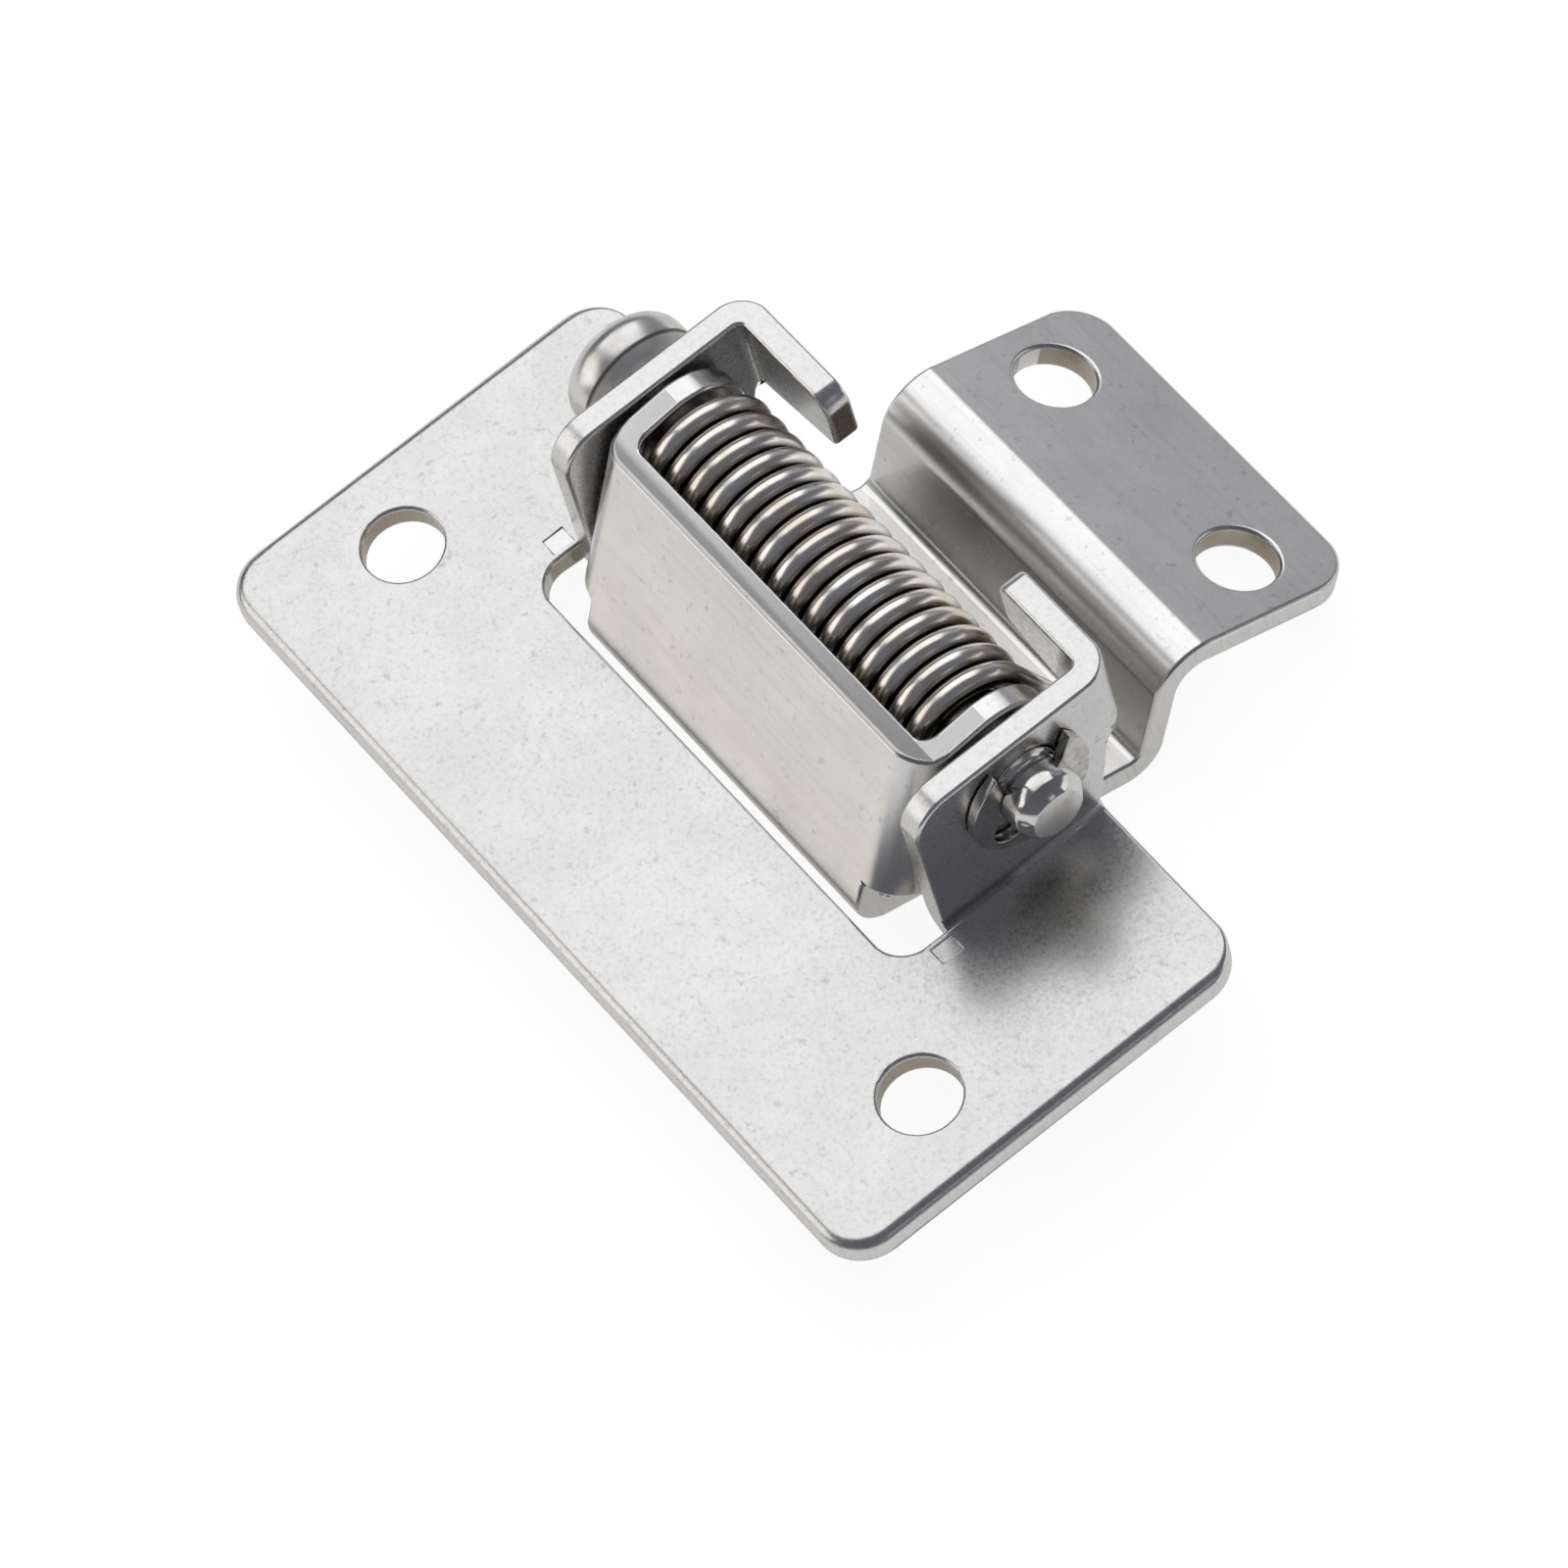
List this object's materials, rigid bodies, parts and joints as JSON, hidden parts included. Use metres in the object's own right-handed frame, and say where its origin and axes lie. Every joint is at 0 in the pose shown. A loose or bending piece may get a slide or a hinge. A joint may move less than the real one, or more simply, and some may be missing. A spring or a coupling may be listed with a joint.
{
  "type": "spring loaded door hinge",
  "caption": "Folded sheet steel hinge with a base leaf, a stepped door leaf and a torsion spring on the pin that swings the door leaf shut.",
  "frame": {"origin": "midway between the base leaf's two fixing holes, on the plane of its underside", "axes": "X along the hinge pin towards the retaining ring, Y from the base leaf towards the door leaf, Z out of the base leaf's face"},
  "size_m": [0.062, 0.0516, 0.0213],
  "materials": {
    "base_leaf": "tumbled stainless sheet, matte with a fine grain",
    "door_leaf": "tumbled stainless sheet, matte with a fine grain",
    "hinge_pin": "turned and polished stainless steel",
    "retaining_ring": "stamped stainless spring steel, semi-bright",
    "torsion_spring": "drawn stainless wire, bright"
  },
  "bodies": {
    "base": {"base_leaf": "base_leaf", "hinge_pin": "hinge_pin", "retaining_ring": "retaining_ring", "torsion_spring": "torsion_spring"},
    "leaf": {"door_leaf": "door_leaf"}
  },
  "joints": [
    {"name": "door_swing", "type": "hinge", "parent": "base", "child": "leaf", "pos_m": [0, 0.0153, 0.0101], "axis": [1, 0, 0], "range_deg": [0, 88], "stiffness_Nm_per_rad": 0.15, "springref_deg": -40.11, "deforming": ["torsion_spring"]}
  ]
}
